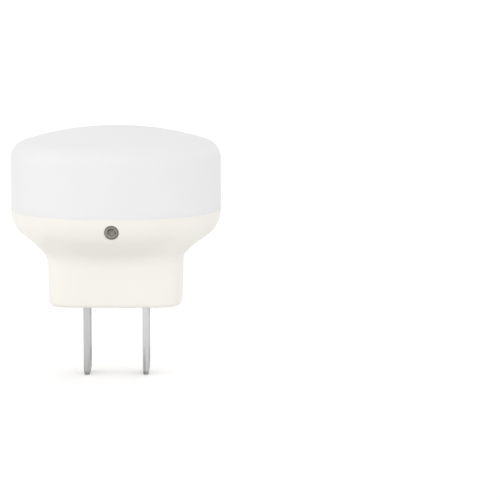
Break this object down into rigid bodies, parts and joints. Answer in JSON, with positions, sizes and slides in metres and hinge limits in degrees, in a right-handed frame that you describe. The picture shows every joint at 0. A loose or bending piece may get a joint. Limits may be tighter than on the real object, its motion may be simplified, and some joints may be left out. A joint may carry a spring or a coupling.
{
  "type": "plug-in night light",
  "caption": "Plug-in sensor night light: frosted round shade with a shallow dome on a cream base that narrows into a plug neck with flat blades.",
  "frame": {"origin": "centre of the plug face, midway between the two blades", "axes": "+Z from the plug face towards the shade, -Y towards the light sensor at the front, X across the two blades"},
  "size_m": [0.045, 0.045, 0.0536],
  "materials": {
    "frosted_shade": "frosted",
    "cream_plastic": "satin",
    "clear_epoxy": "clear",
    "tinned_lead": "tinned",
    "plated_brass": "nickel plated",
    "clamp_plastic": "matte",
    "screw_steel": "zinc plated",
    "white_board": "solder mask",
    "led_white": "matte",
    "led_phosphor": "silicone",
    "black_insulation": "smooth",
    "white_insulation": "smooth",
    "tinned_copper": "bare",
    "yellow_case": "moulded",
    "resistor_coat": "lacquered",
    "chip_black": "matte",
    "package_black": "moulded",
    "can_sleeve": "sleeved",
    "diode_glass": "glass"
  },
  "bodies": {
    "root": {"diffuser_shade": "frosted_shade", "base_housing": "cream_plastic", "light_sensor": "clear_epoxy", "sensor_leads": "tinned_lead", "blade_left": "plated_brass", "blade_right": "plated_brass", "blade_clamp": "clamp_plastic", "clamp_screws": "screw_steel", "circuit_board": "white_board", "board_screws": "screw_steel", "led_bodies": "led_white", "led_phosphors": "led_phosphor", "live_wire": "black_insulation", "neutral_wire": "white_insulation", "wire_cores": "tinned_copper", "dropper_capacitor": "yellow_case", "inrush_resistor": "resistor_coat", "discharge_resistors": "chip_black", "bridge_rectifier": "package_black", "smoothing_capacitor": "can_sleeve", "zener_diode": "diode_glass", "led_resistors": "chip_black", "switch_transistor": "package_black", "component_leads": "tinned_lead"}
  },
  "joints": []
}
